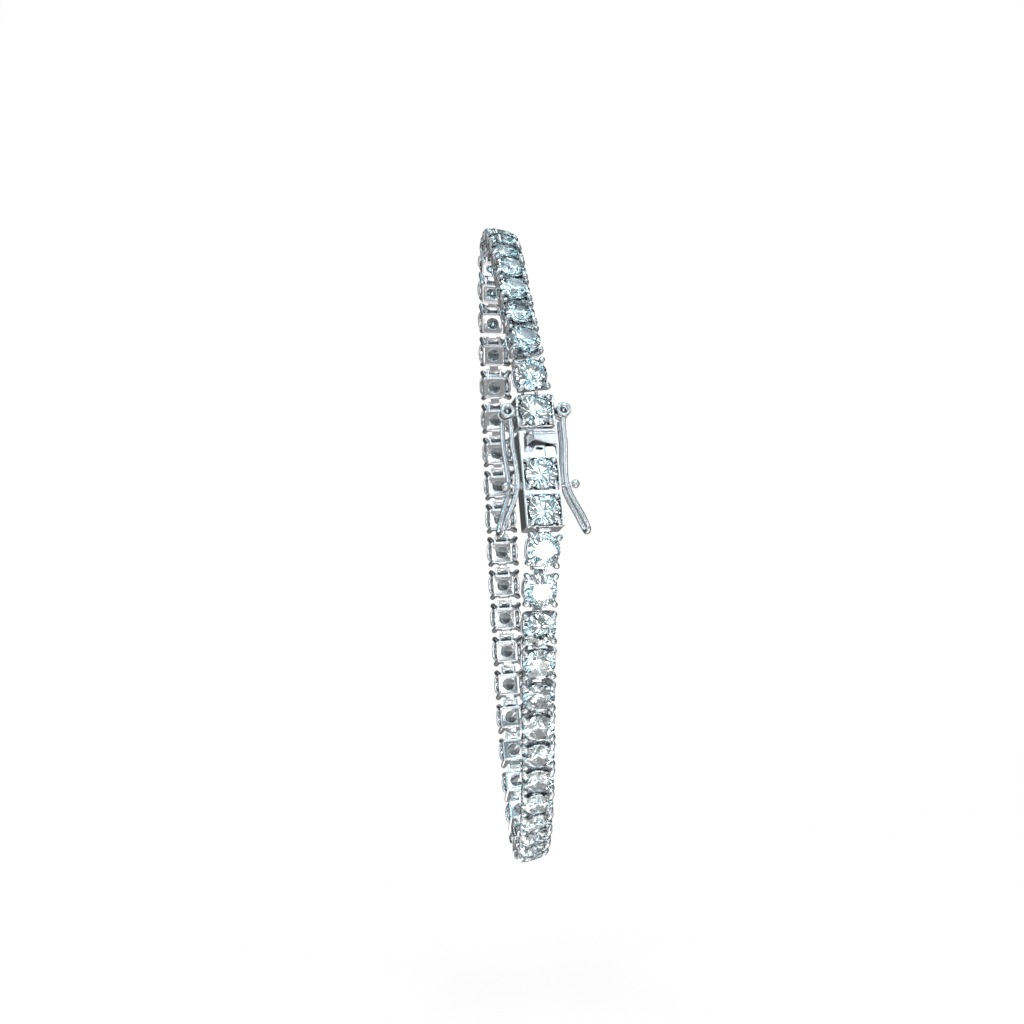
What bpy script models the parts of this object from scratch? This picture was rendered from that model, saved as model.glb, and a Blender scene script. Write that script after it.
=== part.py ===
"""Tennis bracelet, worn: a closed loop of four-prong links, each with a round brilliant stone,
joined by a box clasp with a sprung tongue, a thumb press and two side safety levers.

Units are metres. The loop lies round the +X axis, which is the line the wrist lies along. +Z is up,
and the clasp faces -Y, the front. The origin is the middle of the loop, where the wrist's centre lies.

Every piece is drawn in millimetres in a frame of its own and scaled to metres once:
  local x  across the band
  local y  along the band, from the box end towards the tongue end
  local z  outwards, away from the wrist, with 0 on the line of the link hinges
"""

import math

import bmesh
import bpy
import numpy as np
from mathutils import Matrix, Vector

MM = 0.001

# ---------------------------------------------------------------- driving sizes, millimetres
LINK_COUNT = 41
PITCH = 4.05  # from one link hinge to the next
CLASP_PITCH = 14.8  # from the hinge above the clasp to the hinge below it

STONE_D = 3.55
CLASP_STONE_D = 3.4
STONE_TABLE_SHARE = 0.57
STONE_TABLE_Z = 1.85  # the table stands highest
STONE_GIRDLE_TOP = 1.33
STONE_GIRDLE_LOW = 1.23
STONE_CULET_Z = -0.23

LINK_HALF_X = 1.90  # over the prong tips
LINK_HALF_Y = 1.86  # leaves 0.33 between the prongs of two links
LINK_BASE_HALF = 1.40
LINK_BASE_Z = (-0.90, -0.42)
LINK_HOLE_HALF = 0.72
PRONG_TOP_Z = 1.62
PRONG_FOOT_Z = -0.60  # sunk in the base ring
PRONG_FOOT = (0.84, 1.33)
PRONG_HEAD_IN = 1.18
TAB_HALF_X = 0.55
TAB_Z = (-0.80, -0.50)
TAB_PAST_HINGE = 0.28

CLASP_HALF_X = 2.10
CLASP_TOP_Z = 1.30
PIT_R = 1.78
PIT_FLOOR_Z = -0.33

TONGUE_END_S = (0.15, 3.75)  # s runs down the clasp from the hinge above it
TONGUE_STONE_S = 1.90
TONGUE_END_LOW_Z = -1.40
LEAF_HALF_X = 1.25
LEAF_Z = (-1.28, -1.08)
LEAF_END_S = 10.1

BOX_S = (4.05, 14.65)
BOX_LOW_Z = -1.60
BOX_STONES_S = (8.85, 12.80)
SLOT_HALF_X = 1.50
SLOT_Z = (-1.38, -0.50)
SLOT_END_S = 10.9
NOTCH_HALF_X = 1.55
NOTCH_END_S = 6.45

PRESS_AXIS_S = 10.0  # the fold of the spring leaf
PRESS_AXIS_Z = -0.90
PRESS_HALF_X = 1.15  # it travels 2.2 degrees about the fold before the leaves meet
PAD_Z = (0.92, 1.22)

PEG_S = 9.9
PEG_Z = 0.35
PEG_R = 0.24
BALL_X = 3.78
BALL_R = 0.48

HINGE_S = 1.90
HINGE_X = 3.06
EYE_R = 0.84
EYE_HOLE_R = 0.36
PIN_R = 0.24
LUG_Z = (-0.10, 0.80)
WIRE = 0.42  # the lever's wire, square here
UPPER_WIRE_Z = PEG_Z + 0.85
LOWER_WIRE_Z = PEG_Z - 0.85
LOWER_WIRE_OUT = {-1: 0.60, 1: 0.0}  # the left lever is bent: its lower wire stands farther out

# The loop, on the line of the link hinges. depth is +Y, height is +Z, aside is +X, and lean is how far
# the outer face turns towards +X, in degrees. The rows from "low back" to "high back" lie behind the wrist.
LOOP = (
    # name            depth    height  aside   lean
    ("clasp low end", -21.35,   1.50,   0.75,   5.0),
    ("first link",    -21.38,  -2.55,   0.10,   4.0),
    ("third",         -19.31, -10.36,  -0.28,   1.0),
    ("fifth",         -15.47, -17.48,  -0.32,   0.5),
    ("seventh",       -10.41, -23.80,  -0.10,   1.0),
    ("ninth",          -4.52, -29.34,   0.05,   4.0),
    ("eleventh",        2.37, -33.58,   0.25,  11.0),
    ("under side",     10.18, -35.54,   0.30,  13.0),
    ("low back",       16.80, -32.20,   0.30,  12.0),
    ("back",           20.90, -24.00,   0.25,  10.0),
    ("back",           22.30, -12.00,   0.20,  10.0),
    ("back",           22.10,   2.50,   0.20,  10.0),
    ("back",           20.80,  16.50,   0.20,  11.0),
    ("high back",      17.40,  27.60,   0.20,  13.0),
    ("upper side",     10.30,  34.20,   0.10,  14.0),
    ("top",             2.01,  34.12,   0.00,  15.0),
    ("fifth above",    -5.46,  31.05,  -0.22,  15.0),
    ("third above",   -11.73,  25.92,  -0.22,  15.0),
    ("second above",  -14.65,  23.12,  -0.10,  14.0),
    ("last link",     -17.05,  19.85,   0.12,  12.0),
    ("clasp high end", -18.05,  15.93,   0.62,   8.0),
)

# The safety lever seen from outside: along the clasp from the hinge above it, and out from its middle.
LEVER_PATH = (
    # s      out
    (1.90,  2.95),
    (3.60,  2.84),
    (5.40,  2.87),
    (7.00,  2.75),
    (8.60,  2.64),
    (9.90,  2.66),
    (10.90, 2.90),
    (12.00, 3.34),
    (13.20, 3.92),
    (14.30, 4.38),
    (15.10, 4.66),
)


# ---------------------------------------------------------------- small tools
def clear_scene():
    for obj in list(bpy.data.objects):
        bpy.data.objects.remove(obj, do_unlink=True)


def metal(name, colour, roughness, metallic=1.0):
    material = bpy.data.materials.new(name)
    material.use_nodes = True
    shader = material.node_tree.nodes["Principled BSDF"]
    shader.inputs["Base Color"].default_value = (*colour, 1.0)
    shader.inputs["Roughness"].default_value = roughness
    shader.inputs["Metallic"].default_value = metallic
    material.diffuse_color = (*colour, 1.0)
    return material


def spline(columns):
    """A smooth curve through the rows of a table, at knots a chord length apart, as a function."""
    rows = np.array(columns, float)
    knots = np.concatenate([[0.0], np.cumsum(np.linalg.norm(np.diff(rows[:, :3], axis=0), axis=1))])
    count = len(rows)
    steps = np.diff(knots)
    system, right = np.eye(count), np.zeros((count, rows.shape[1]))
    for i in range(1, count - 1):
        system[i, i - 1 : i + 2] = steps[i - 1], 2 * (steps[i - 1] + steps[i]), steps[i]
        right[i] = 6 * ((rows[i + 1] - rows[i]) / steps[i] - (rows[i] - rows[i - 1]) / steps[i - 1])
    bend = np.linalg.solve(system, right)

    def at(u):
        i = int(np.clip(np.searchsorted(knots, u) - 1, 0, count - 2))
        a, b, h = knots[i + 1] - u, u - knots[i], steps[i]
        return (
            bend[i] * a**3 / (6 * h)
            + bend[i + 1] * b**3 / (6 * h)
            + (rows[i] / h - bend[i] * h / 6) * a
            + (rows[i + 1] / h - bend[i + 1] * h / 6) * b
        )

    return at, knots[-1]


def chain(back):
    """The hinge points of LINK_COUNT links walked along the loop, and how much of the loop is left over."""
    table = [
        (depth * (back if depth > 12 else 1.0), height, aside, lean)
        for _, depth, height, aside, lean in LOOP
    ]
    at, end = spline(table)
    hinges, u = [at(0.0)], 0.0
    for _ in range(LINK_COUNT):
        low, high = u + 0.5 * PITCH, u + 1.5 * PITCH
        for _ in range(50):
            middle = (low + high) / 2
            if np.linalg.norm(at(middle)[:3] - hinges[-1][:3]) < PITCH:
                low = middle
            else:
                high = middle
        u = (low + high) / 2
        hinges.append(at(u))
    return hinges, end - u


def fitted_chain():
    """Pushes the back of the loop out or in until the links meet the clasp."""
    low, high = 0.8, 1.25
    for _ in range(50):
        back = (low + high) / 2
        if chain(back)[1] < 0:
            low = back
        else:
            high = back
    hinges = chain((low + high) / 2)[0]
    hinges[-1] = np.array(LOOP[-1][1:], float)
    return hinges


def frame_between(upper, lower):
    """The matrix of a piece between two hinge rows: x across, y towards the upper hinge, z outwards."""
    p = Vector((upper[2], upper[0], upper[1]))
    q = Vector((lower[2], lower[0], lower[1]))
    along = (p - q).normalized()
    across = (Vector((1, 0, 0)) - along * along.x).normalized()
    out = across.cross(along)
    lean = math.radians((upper[3] + lower[3]) / 2)
    across, out = (
        across * math.cos(lean) - out * math.sin(lean),
        out * math.cos(lean) + across * math.sin(lean),
    )
    matrix = Matrix((across, along, out)).transposed().to_4x4()
    matrix.translation = (p + q) / 2 * MM
    return matrix


def mesh_object(name, points, faces):
    mesh = bpy.data.meshes.new(name)
    mesh.from_pydata([tuple(p) for p in points], [], faces)
    bm = bmesh.new()
    bm.from_mesh(mesh)
    bmesh.ops.recalc_face_normals(bm, faces=bm.faces)
    bm.to_mesh(mesh)
    bm.free()
    obj = bpy.data.objects.new(name, mesh)
    bpy.context.scene.collection.objects.link(obj)
    return obj


def prism(outline, z0, z1, top=None):
    """An outline extruded from z0 to z1; top is the outline at z1 where it differs."""
    count = len(outline)
    points = [(x, y, z0) for x, y in outline] + [(x, y, z1) for x, y in (top or outline)]
    sides = [(i, (i + 1) % count, count + (i + 1) % count, count + i) for i in range(count)]
    return mesh_object("shape", points, [tuple(range(count)), tuple(range(count, 2 * count)), *sides])


def block(x, y, z):
    return prism([(x[0], y[0]), (x[1], y[0]), (x[1], y[1]), (x[0], y[1])], *z)


def ring_outline(r, sides, centre=(0.0, 0.0), phase=0.5):
    return [
        (
            centre[0] + r * math.cos(2 * math.pi * (i + phase) / sides),
            centre[1] + r * math.sin(2 * math.pi * (i + phase) / sides),
        )
        for i in range(sides)
    ]


def turned(profile, sides, phase=0.5):
    """A closed solid of revolution about z from (radius, height) pairs; a radius of 0 ends in a point."""
    points, rings = [], []
    for r, z in profile:
        if r == 0:
            rings.append([len(points)])
            points.append((0, 0, z))
        else:
            rings.append(list(range(len(points), len(points) + sides)))
            points += [(x, y, z) for x, y in ring_outline(r, sides, phase=phase)]
    faces = []
    for a, b in zip(rings, rings[1:]):
        for i in range(sides):
            j = (i + 1) % sides
            quad = [a[i % len(a)], a[j % len(a)], b[j % len(b)], b[i % len(b)]]
            faces.append(tuple(dict.fromkeys(quad)))
    for end in (rings[0], rings[-1]):
        if len(end) > 1:
            faces.append(tuple(end))
    return mesh_object("shape", points, faces)


def moved(obj, offset=(0, 0, 0), turn=None):
    matrix = Matrix.Translation(offset) @ (turn.to_4x4() if turn else Matrix.Identity(4))
    obj.data.transform(matrix)
    return obj


def joined(base, adds=(), cuts=()):
    """One mesh from a base shape, the shapes added to it and the shapes cut from it."""
    for operation, others in (("UNION", adds), ("DIFFERENCE", cuts)):
        for other in others:
            step = base.modifiers.new(operation.lower(), "BOOLEAN")
            step.operation, step.solver, step.object = operation, "EXACT", other
    bpy.context.view_layer.update()
    mesh = bpy.data.meshes.new_from_object(
        base.evaluated_get(bpy.context.evaluated_depsgraph_get())
    )
    for obj in (base, *adds, *cuts):
        bpy.data.objects.remove(obj, do_unlink=True)
    return mesh


def tidy(mesh, name, material):
    """Flat faces made whole, the mesh scaled from millimetres to metres, and round walls shaded smooth."""
    bm = bmesh.new()
    bm.from_mesh(mesh)
    bmesh.ops.remove_doubles(bm, verts=bm.verts, dist=1e-4)
    bmesh.ops.dissolve_limit(bm, angle_limit=math.radians(0.5), verts=bm.verts, edges=bm.edges)
    bmesh.ops.triangulate(bm, faces=bm.faces)
    bmesh.ops.scale(bm, vec=(MM, MM, MM), verts=bm.verts)
    bm.to_mesh(mesh)
    bm.free()
    mesh.name = name
    mesh.materials.clear()
    mesh.materials.append(material)
    mesh.shade_smooth()
    mesh.set_sharp_from_angle(angle=math.radians(35))
    return mesh


def place(name, mesh, matrix, parent=None):
    obj = bpy.data.objects.new(name, mesh)
    bpy.context.scene.collection.objects.link(obj)
    if parent is None:
        obj.matrix_world = matrix
    else:
        obj.parent = parent
        obj.matrix_local = matrix
    return obj


def empty(name, matrix, parent=None):
    obj = bpy.data.objects.new(name, None)
    obj.empty_display_size = 2 * MM
    bpy.context.scene.collection.objects.link(obj)
    if parent is None:
        obj.matrix_world = matrix
    else:
        obj.parent = parent
        obj.matrix_local = matrix
    return obj


# ---------------------------------------------------------------- pieces, millimetres
def stone_shape(diameter, sides, girdle=(STONE_GIRDLE_LOW, STONE_GIRDLE_TOP)):
    """A round brilliant's outer form: culet, pavilion, girdle, crown and table."""
    r = diameter / 2
    return turned(
        [(0, STONE_CULET_Z)] + [(r, z) for z in girdle] + [(STONE_TABLE_SHARE * r, STONE_TABLE_Z)], sides
    )


def prong_shape(sx, sy):
    low, high = PRONG_FOOT
    foot = [(low, low), (high, low), (high, high), (low, high)]
    head = [
        (PRONG_HEAD_IN, PRONG_HEAD_IN),
        (LINK_HALF_X, PRONG_HEAD_IN),
        (LINK_HALF_X, LINK_HALF_Y),
        (PRONG_HEAD_IN, LINK_HALF_Y),
    ]
    return prism(
        [(sx * x, sy * y) for x, y in foot],
        PRONG_FOOT_Z,
        PRONG_TOP_Z,
        top=[(sx * x, sy * y) for x, y in head],
    )


def link_mesh(material):
    """A basket: an open square base ring, four prongs, the stone they grip and the hinge tab."""
    half = LINK_BASE_HALF
    base = block((-half, half), (-half, half), LINK_BASE_Z)
    hole = block(
        (-LINK_HOLE_HALF, LINK_HOLE_HALF),
        (-LINK_HOLE_HALF, LINK_HOLE_HALF),
        (LINK_BASE_Z[0] - 0.2, LINK_BASE_Z[1] + 0.2),
    )
    tab = block((-TAB_HALF_X, TAB_HALF_X), (half - 0.2, PITCH / 2 + TAB_PAST_HINGE), TAB_Z)
    prongs = [prong_shape(sx, sy) for sx in (-1, 1) for sy in (-1, 1)]
    frame = joined(base, [tab, *prongs], [hole])
    frame_object = bpy.data.objects.new("shape", frame)
    bpy.context.scene.collection.objects.link(frame_object)
    stone = stone_shape(STONE_D, 8, girdle=((STONE_GIRDLE_LOW + STONE_GIRDLE_TOP) / 2,))
    return tidy(joined(frame_object, [stone]), "link", material)


def y_of(s):
    """Local y of a distance down the clasp."""
    return CLASP_PITCH / 2 - s


def lying_x(obj):
    """Turns a solid made about z to lie along x."""
    return moved(obj, turn=Matrix.Rotation(math.pi / 2, 3, "Y"))


def tongue_end_mesh(material):
    """The end link that carries the tongue: a walled setting, two hinge lugs with their pins, the spring
    tongue's lower leaf and the tab towards the last link."""
    s0, s1 = TONGUE_END_S
    body = block((-CLASP_HALF_X, CLASP_HALF_X), (y_of(s1), y_of(s0)), (TONGUE_END_LOW_Z, CLASP_TOP_Z))
    leaf = block((-LEAF_HALF_X, LEAF_HALF_X), (y_of(LEAF_END_S), y_of(s1 - 0.5)), LEAF_Z)
    tab = block(
        (-TAB_HALF_X, TAB_HALF_X), (y_of(s0 + 0.3), y_of(-TAB_PAST_HINGE)), TAB_Z
    )
    adds = [leaf, tab]
    for side in (-1, 1):
        adds.append(
            block(
                sorted((side * (CLASP_HALF_X - 0.2), side * HINGE_X)),
                (y_of(HINGE_S) - 0.45, y_of(HINGE_S) + 0.45),
                LUG_Z,
            )
        )
        adds.append(
            prism(ring_outline(0.45, 8, (side * HINGE_X, y_of(HINGE_S))), LUG_Z[0] + 0.001, LUG_Z[1] - 0.001)
        )
        adds.append(
            prism(
                ring_outline(PIN_R, 8, (side * HINGE_X, y_of(HINGE_S))),
                LOWER_WIRE_Z - WIRE / 2 - 0.08,
                UPPER_WIRE_Z + WIRE / 2 + 0.08,
            )
        )
    pit = prism(ring_outline(PIT_R, 16, (0, y_of(TONGUE_STONE_S))), PIT_FLOOR_Z, CLASP_TOP_Z + 0.5)
    vent = prism(ring_outline(0.7, 8, (0, y_of(TONGUE_STONE_S))), TONGUE_END_LOW_Z - 0.2, PIT_FLOOR_Z + 0.2)
    return tidy(joined(body, adds, [pit, vent]), "clasp_tongue_end", material)


def clasp_box_mesh(material):
    """The box: two pits for stones, the slot the tongue enters, the notch the thumb press stands in, and
    the ball pegs that the safety levers snap over."""
    s0, s1 = BOX_S
    body = block((-CLASP_HALF_X, CLASP_HALF_X), (y_of(s1), y_of(s0)), (BOX_LOW_Z, CLASP_TOP_Z))
    adds = []
    for side in (-1, 1):
        peg = prism(ring_outline(PEG_R, 8), CLASP_HALF_X - 0.2, BALL_X)
        ball = turned(
            [(0, -BALL_R)]
            + [
                (BALL_R * math.sin(math.pi * k / 5), -BALL_R * math.cos(math.pi * k / 5))
                for k in range(1, 5)
            ]
            + [(0, BALL_R)],
            10,
        )
        moved(ball, (0, 0, BALL_X))
        for shape in (peg, ball):
            lying_x(shape)
            moved(shape, turn=Matrix.Rotation(0 if side > 0 else math.pi, 3, "Z"))
            adds.append(moved(shape, (0, y_of(PEG_S), PEG_Z)))
    slot = block((-SLOT_HALF_X, SLOT_HALF_X), (y_of(SLOT_END_S), y_of(s0 - 0.5)), SLOT_Z)
    notch = block(
        (-NOTCH_HALF_X, NOTCH_HALF_X), (y_of(NOTCH_END_S), y_of(s0 - 0.6)), (SLOT_Z[1] - 0.1, CLASP_TOP_Z + 0.5)
    )
    pocket = block(
        (-TAB_HALF_X - 0.2, TAB_HALF_X + 0.2), (y_of(s1 + 0.5), y_of(s1 - 0.45)), (TAB_Z[0] - 0.2, TAB_Z[1] + 0.2)
    )
    pits = [
        prism(ring_outline(PIT_R, 16, (0, y_of(s))), PIT_FLOOR_Z, CLASP_TOP_Z + 0.5)
        for s in BOX_STONES_S
    ]
    return tidy(joined(body, adds, [slot, notch, pocket, *pits]), "clasp_box", material)


def thumb_press_mesh(material):
    """The tongue's upper leaf, from its fold to the mouth of the box, with the pad that the thumb pushes.
    Its own origin is on the fold."""
    fold = y_of(PRESS_AXIS_S)

    def at(s, z):
        return (y_of(s) - fold, z - PRESS_AXIS_Z)

    side_view = [
        at(PRESS_AXIS_S, -0.98),
        at(4.20, -0.82),
        at(4.20, PAD_Z[0] - 0.2),
        at(3.98, PAD_Z[0]),
        at(3.98, PAD_Z[1]),
        at(5.40, PAD_Z[1]),
        at(5.40, PAD_Z[0]),
        at(4.42, PAD_Z[0] - 0.2),
        at(4.42, -0.62),
        at(PRESS_AXIS_S, -0.80),
    ]
    leaf = prism(side_view, -PRESS_HALF_X, PRESS_HALF_X)
    # the outline was drawn as (along, up): stand it up and lay its depth across the band
    leaf.data.transform(Matrix(((0, 0, 1, 0), (1, 0, 0, 0), (0, 1, 0, 0), (0, 0, 0, 1))))
    return tidy(joined(leaf), "thumb_press", material)


def lever_outline(side, shift):
    """The two edges of one wire of a lever; shift moves it outwards, less and less towards the ends."""
    path = []
    for s, out in LEVER_PATH:
        share = min(1.0, (s - LEVER_PATH[0][0]) / 1.6, 0.30 + (LEVER_PATH[-1][0] - s) / 5.0)
        path.append(Vector((side * (out + shift * share - HINGE_X), HINGE_S - s)))
    left, right = [], []
    for i, point in enumerate(path):
        before, after = path[max(i - 1, 0)], path[min(i + 1, len(path) - 1)]
        direction = (after - before).normalized()
        normal = Vector((-direction.y, direction.x)) * WIRE / 2
        left.append(tuple(point + normal))
        right.append(tuple(point - normal))
    return left, right


def lever_mesh(side, material):
    """A safety lever: an upper and a lower wire from the hinge eyes past the ball peg to the finger end.
    Its own origin is on the hinge."""
    eye_out = ring_outline(EYE_R, 14)
    shapes, tips = [], []
    for z, shift in ((LOWER_WIRE_Z, LOWER_WIRE_OUT[side]), (UPPER_WIRE_Z, 0.0)):
        low, high = z - WIRE / 2 - PEG_Z, z + WIRE / 2 - PEG_Z
        left, right = lever_outline(side, shift)
        shapes.append(prism(left + right[::-1], low, high))
        shapes.append(prism(eye_out, low - 0.002, high + 0.002))
        tips.append(left[-2:] + right[-2:][::-1])
    shapes.append(
        prism(
            tips[0],
            LOWER_WIRE_Z - WIRE / 2 - PEG_Z + 0.003,
            UPPER_WIRE_Z + WIRE / 2 - PEG_Z - 0.003,
            top=tips[1],
        )
    )
    hole = prism(ring_outline(EYE_HOLE_R, 10), LOWER_WIRE_Z - PEG_Z - 1, UPPER_WIRE_Z - PEG_Z + 1)
    return tidy(joined(shapes[0], shapes[1:], [hole]), "safety_lever", material)


def stone_mesh(material):
    return tidy(joined(stone_shape(CLASP_STONE_D, 16)), "clasp_stone", material)


# ---------------------------------------------------------------- the bracelet
def build():
    clear_scene()
    polished = metal("polished_white_metal", (0.86, 0.87, 0.89), 0.12)
    sprung = metal("sprung_white_metal", (0.80, 0.81, 0.83), 0.22)
    crystal = metal("clear_stone", (0.82, 0.92, 0.96), 0.03, 0.0)

    hinges = fitted_chain()
    link = link_mesh(polished)
    for i in range(LINK_COUNT):
        place(f"link_{i + 1:02d}", link, frame_between(hinges[i], hinges[i + 1]))

    clasp = empty("clasp_frame", frame_between(hinges[-1], hinges[0]))
    here = Matrix.Identity(4)
    place("clasp_tongue_end", tongue_end_mesh(polished), here, clasp)
    place("clasp_box", clasp_box_mesh(polished), here, clasp)
    stone = stone_mesh(crystal)
    for name, s in zip(
        ("clasp_stone_tongue", "clasp_stone_box_upper", "clasp_stone_box_lower"),
        (TONGUE_STONE_S, *BOX_STONES_S),
    ):
        place(name, stone, Matrix.Translation((0, y_of(s) * MM, 0)), clasp)

    fold = empty(
        "thumb_press_axis", Matrix.Translation((0, y_of(PRESS_AXIS_S) * MM, PRESS_AXIS_Z * MM)), clasp
    )
    place("thumb_press", thumb_press_mesh(sprung), here, fold)
    for name, side in (("safety_lever_left", -1), ("safety_lever_right", 1)):
        axis = empty(
            name + "_axis",
            Matrix.Translation((side * HINGE_X * MM, y_of(HINGE_S) * MM, PEG_Z * MM)),
            clasp,
        )
        place(name, lever_mesh(side, sprung), here, axis)


build()
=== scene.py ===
"""The looks of a tennis bracelet held up in its worn form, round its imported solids.

Pieces are drawn in millimetres in a frame of their own (x across the band, y along it towards the tongue
end, z outwards) and scaled to metres once. Sizes repeat those of the solids, which they stand for.
"""

import math

import bmesh
import bpy
import numpy as np
from mathutils import Matrix, Vector


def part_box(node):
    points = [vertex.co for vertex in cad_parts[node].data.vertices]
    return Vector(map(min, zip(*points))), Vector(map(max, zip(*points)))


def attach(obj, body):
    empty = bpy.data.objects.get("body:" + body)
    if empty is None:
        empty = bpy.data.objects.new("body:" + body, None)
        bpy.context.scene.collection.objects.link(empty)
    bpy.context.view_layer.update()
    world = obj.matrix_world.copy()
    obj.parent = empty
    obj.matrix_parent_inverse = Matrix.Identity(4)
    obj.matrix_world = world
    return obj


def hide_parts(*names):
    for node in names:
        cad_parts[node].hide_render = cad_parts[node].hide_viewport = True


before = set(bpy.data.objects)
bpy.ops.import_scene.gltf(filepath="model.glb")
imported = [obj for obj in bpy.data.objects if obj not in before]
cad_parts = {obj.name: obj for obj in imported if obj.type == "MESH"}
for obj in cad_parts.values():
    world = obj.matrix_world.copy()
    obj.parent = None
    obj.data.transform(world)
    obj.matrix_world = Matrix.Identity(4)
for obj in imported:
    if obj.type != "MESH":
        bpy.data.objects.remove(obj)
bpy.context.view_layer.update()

MM = 0.001
LINK_COUNT = 41
PITCH = 4.05
CLASP_PITCH = 14.8
STONE_D = 3.55
CLASP_STONE_D = 3.4
TABLE_SHARE = 0.57
TABLE_Z = 1.85
GIRDLE_Z = (1.23, 1.33)
CULET_Z = -0.23
CLASP_HALF_X = 2.10
TONGUE_END_S = (0.15, 3.75)
TONGUE_STONE_S = 1.90
BOX_S = (4.05, 14.65)
BOX_STONES_S = (8.85, 12.80)
BOX_LOW_Z = -1.60
SLOT_HALF_X = 1.50
SLOT_Z = (-1.38, -0.50)
SLOT_END_S = 10.9
NOTCH_HALF_X = 1.55
NOTCH_END_S = 6.45
PRESS_AXIS_S = 10.0
PRESS_AXIS_Z = -0.90
PEG_S, PEG_Z, PEG_R = 9.9, 0.35, 0.24
BALL_X, BALL_R = 3.78, 0.48
HINGE_S, HINGE_X = 1.90, 3.06
PIN_R = 0.24
UPPER_WIRE_Z, LOWER_WIRE_Z = PEG_Z + 0.85, PEG_Z - 0.85
LOWER_WIRE_OUT = {-1: 0.60, 1: 0.0}  # the left lever is bent: its lower wire stands farther out

LOOP = (
    # name            depth    height  aside   lean
    ("clasp low end", -21.35,   1.50,   0.75,   5.0),
    ("first link",    -21.38,  -2.55,   0.10,   4.0),
    ("third",         -19.31, -10.36,  -0.28,   1.0),
    ("fifth",         -15.47, -17.48,  -0.32,   0.5),
    ("seventh",       -10.41, -23.80,  -0.10,   1.0),
    ("ninth",          -4.52, -29.34,   0.05,   4.0),
    ("eleventh",        2.37, -33.58,   0.25,  11.0),
    ("under side",     10.18, -35.54,   0.30,  13.0),
    ("low back",       16.80, -32.20,   0.30,  12.0),
    ("back",           20.90, -24.00,   0.25,  10.0),
    ("back",           22.30, -12.00,   0.20,  10.0),
    ("back",           22.10,   2.50,   0.20,  10.0),
    ("back",           20.80,  16.50,   0.20,  11.0),
    ("high back",      17.40,  27.60,   0.20,  13.0),
    ("upper side",     10.30,  34.20,   0.10,  14.0),
    ("top",             2.01,  34.12,   0.00,  15.0),
    ("fifth above",    -5.46,  31.05,  -0.22,  15.0),
    ("third above",   -11.73,  25.92,  -0.22,  15.0),
    ("second above",  -14.65,  23.12,  -0.10,  14.0),
    ("last link",     -17.05,  19.85,   0.12,  12.0),
    ("clasp high end", -18.05,  15.93,   0.62,   8.0),
)

LEVER_PATH = (
    # s      out
    (1.90,  2.95),
    (3.60,  2.84),
    (5.40,  2.87),
    (7.00,  2.75),
    (8.60,  2.64),
    (9.90,  2.66),
    (10.90, 2.90),
    (12.00, 3.34),
    (13.20, 3.92),
    (14.30, 4.38),
    (15.10, 4.66),
)


# ---------------------------------------------------------------- where the pieces are
def spline(columns):
    rows = np.array(columns, float)
    space = rows[:, :3] if rows.shape[1] > 3 else rows
    knots = np.concatenate([[0.0], np.cumsum(np.linalg.norm(np.diff(space, axis=0), axis=1))])
    count = len(rows)
    steps = np.diff(knots)
    system, right = np.eye(count), np.zeros((count, rows.shape[1]))
    for i in range(1, count - 1):
        system[i, i - 1 : i + 2] = steps[i - 1], 2 * (steps[i - 1] + steps[i]), steps[i]
        right[i] = 6 * ((rows[i + 1] - rows[i]) / steps[i] - (rows[i] - rows[i - 1]) / steps[i - 1])
    bend = np.linalg.solve(system, right)

    def at(u):
        i = int(np.clip(np.searchsorted(knots, u) - 1, 0, count - 2))
        a, b, h = knots[i + 1] - u, u - knots[i], steps[i]
        return (
            bend[i] * a**3 / (6 * h)
            + bend[i + 1] * b**3 / (6 * h)
            + (rows[i] / h - bend[i] * h / 6) * a
            + (rows[i + 1] / h - bend[i + 1] * h / 6) * b
        )

    return at, knots[-1]


def chain(back):
    table = [
        (depth * (back if depth > 12 else 1.0), height, aside, lean)
        for _, depth, height, aside, lean in LOOP
    ]
    at, end = spline(table)
    hinges, u = [at(0.0)], 0.0
    for _ in range(LINK_COUNT):
        low, high = u + 0.5 * PITCH, u + 1.5 * PITCH
        for _ in range(50):
            middle = (low + high) / 2
            if np.linalg.norm(at(middle)[:3] - hinges[-1][:3]) < PITCH:
                low = middle
            else:
                high = middle
        u = (low + high) / 2
        hinges.append(at(u))
    return hinges, end - u


def fitted_chain():
    low, high = 0.8, 1.25
    for _ in range(50):
        back = (low + high) / 2
        if chain(back)[1] < 0:
            low = back
        else:
            high = back
    hinges = chain((low + high) / 2)[0]
    hinges[-1] = np.array(LOOP[-1][1:], float)
    return hinges


def frame_between(upper, lower):
    p = Vector((upper[2], upper[0], upper[1]))
    q = Vector((lower[2], lower[0], lower[1]))
    along = (p - q).normalized()
    across = (Vector((1, 0, 0)) - along * along.x).normalized()
    out = across.cross(along)
    lean = math.radians((upper[3] + lower[3]) / 2)
    across, out = (
        across * math.cos(lean) - out * math.sin(lean),
        out * math.cos(lean) + across * math.sin(lean),
    )
    matrix = Matrix((across, along, out)).transposed().to_4x4()
    matrix.translation = (p + q) / 2 * MM
    return matrix


def y_of(s):
    return CLASP_PITCH / 2 - s


# ---------------------------------------------------------------- shapes, millimetres
def mesh_object(points, faces, name="shape"):
    mesh = bpy.data.meshes.new(name)
    mesh.from_pydata([tuple(map(float, p)) for p in points], [], faces)
    bm = bmesh.new()
    bm.from_mesh(mesh)
    bmesh.ops.recalc_face_normals(bm, faces=bm.faces)
    bm.to_mesh(mesh)
    bm.free()
    obj = bpy.data.objects.new(name, mesh)
    bpy.context.scene.collection.objects.link(obj)
    return obj


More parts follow.
